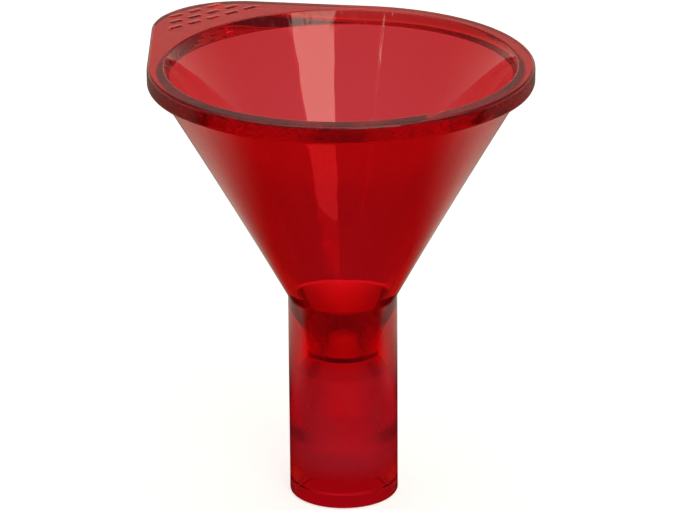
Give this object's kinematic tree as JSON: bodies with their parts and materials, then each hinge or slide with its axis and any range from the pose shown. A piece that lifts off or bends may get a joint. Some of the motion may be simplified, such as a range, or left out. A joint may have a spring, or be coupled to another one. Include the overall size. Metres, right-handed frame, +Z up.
{
  "type": "hand funnel",
  "caption": "Small clear-tinted hand funnel for powder: wide hopper with a flat rim and thumb tab, and a short straight spout with a stepped seat bored up its inside.",
  "frame": {"origin": "on the axis, in the plane of the spout's open end", "axes": "+Z up the axis from the spout's open end to the hopper's mouth; the thumb tab points along -X; +Y completes the frame"},
  "size_m": [0.0654, 0.057, 0.0681],
  "materials": {
    "tinted_plastic": "clear, tinted in the mass, polished"
  },
  "bodies": {
    "root": {"rim_flange": "tinted_plastic", "thumb_tab": "tinted_plastic", "tab_grip_bars": "tinted_plastic", "hopper_cone": "tinted_plastic", "spout_neck": "tinted_plastic", "upper_socket": "tinted_plastic", "lower_socket": "tinted_plastic"}
  },
  "joints": []
}
